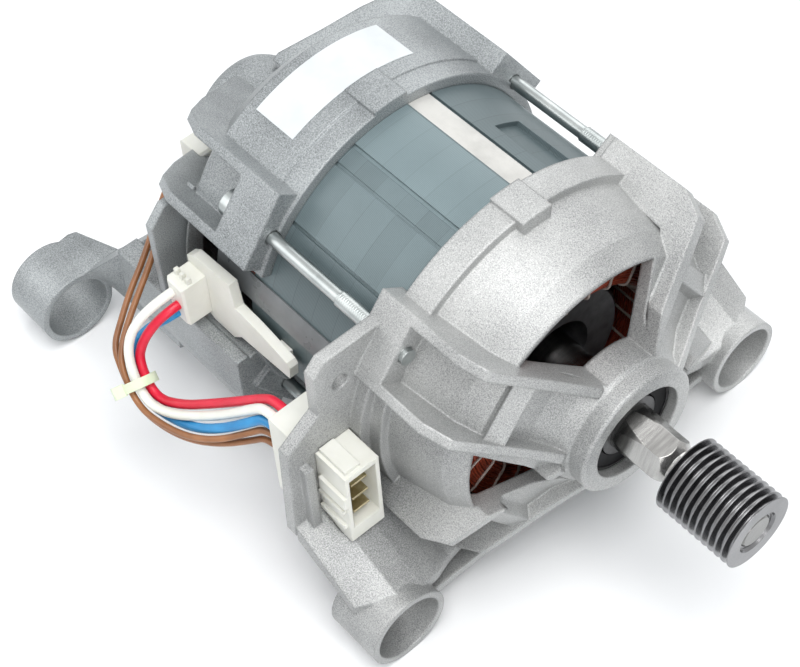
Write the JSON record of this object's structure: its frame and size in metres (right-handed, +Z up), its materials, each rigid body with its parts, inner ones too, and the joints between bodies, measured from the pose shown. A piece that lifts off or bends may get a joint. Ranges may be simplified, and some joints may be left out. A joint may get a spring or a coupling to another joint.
{
  "type": "washing machine motor",
  "caption": "Belt-drive motor with two die-cast end shields, bare laminated stator, ribbed belt pulley, three mounting eyes, side connector and a short wire harness.",
  "frame": {"origin": "middle of the belt pulley on the shaft's axis", "axes": "+X along the shaft towards the pulley's free end, +Z up with the motor standing on its eyes, +Y across to the side away from the connector"},
  "size_m": [0.2437, 0.1774, 0.1198],
  "materials": {
    "shield_cast": "sandblasted die casting",
    "laminations": "satin, blue-grey",
    "slot_paper": "matt",
    "winding_wire": "enamelled copper",
    "lacing": "matt cord",
    "rotor_steel": "dark",
    "cage_cast": "as cast",
    "shaft_steel": "ground",
    "pulley_steel": "machined",
    "bearing_steel": "ground",
    "ball_steel": "polished",
    "bearing_seal": "matt",
    "bolt_zinc": "zinc plated",
    "magnet": "matt ferrite",
    "ivory_plastic": "satin",
    "black_plastic": "satin",
    "film": "clear grey film",
    "contact_metal": "tinned brass",
    "red_cable": "satin",
    "white_cable": "satin",
    "blue_cable": "satin",
    "brown_cable": "satin",
    "tie_nylon": "translucent",
    "label_stock": "printed film, left blank"
  },
  "bodies": {
    "stator": {"front_shield": "shield_cast", "rear_shield": "shield_cast", "stator_core": "laminations", "slot_liners": "slot_paper", "slot_windings": "winding_wire", "front_end_winding": "winding_wire", "front_winding_strands": "winding_wire", "rear_end_winding": "winding_wire", "winding_ties": "lacing", "preload_washer": "bearing_steel", "tacho_coil": "black_plastic", "tacho_lid": "black_plastic", "tacho_plug": "ivory_plastic", "tie_bolts": "bolt_zinc", "terminal_rail": "ivory_plastic", "terminal_pins": "contact_metal", "terminal_header": "ivory_plastic", "insulating_film": "film", "plate_connector": "ivory_plastic", "connector_contacts": "contact_metal", "type_plate": "label_stock", "red_wire": "red_cable", "white_wire": "white_cable", "blue_wire": "blue_cable", "brown_wire_upper": "brown_cable", "brown_wire_lower": "brown_cable", "cable_tie": "tie_nylon", "front_bearing_outer_ring": "bearing_steel", "front_bearing_seals": "bearing_seal", "rear_bearing_outer_ring": "bearing_steel", "rear_bearing_seals": "bearing_seal"},
    "rotor": {"rotor_core": "rotor_steel", "rotor_cage": "cage_cast", "shaft": "shaft_steel", "pulley": "pulley_steel", "tacho_magnet": "magnet", "front_bearing_inner_ring": "bearing_steel", "rear_bearing_inner_ring": "bearing_steel"},
    "front_ball_set": {"front_bearing_balls": "ball_steel", "front_bearing_cage": "bearing_steel"},
    "rear_ball_set": {"rear_bearing_balls": "ball_steel", "rear_bearing_cage": "bearing_steel"}
  },
  "joints": [
    {"name": "rotor_spin", "type": "hinge", "parent": "stator", "child": "rotor", "pos_m": [0, 0, 0], "axis": [1, 0, 0], "continuous": true},
    {"name": "front_balls_spin", "type": "hinge", "parent": "stator", "child": "front_ball_set", "pos_m": [-0.0401, 0, 0], "axis": [1, 0, 0], "continuous": true},
    {"name": "rear_balls_spin", "type": "hinge", "parent": "stator", "child": "rear_ball_set", "pos_m": [-0.1826, 0, 0], "axis": [1, 0, 0], "continuous": true}
  ],
  "couplings": [
    {"joint": "front_balls_spin", "follows": "rotor_spin", "ratio": 0.382},
    {"joint": "rear_balls_spin", "follows": "rotor_spin", "ratio": 0.3659}
  ]
}
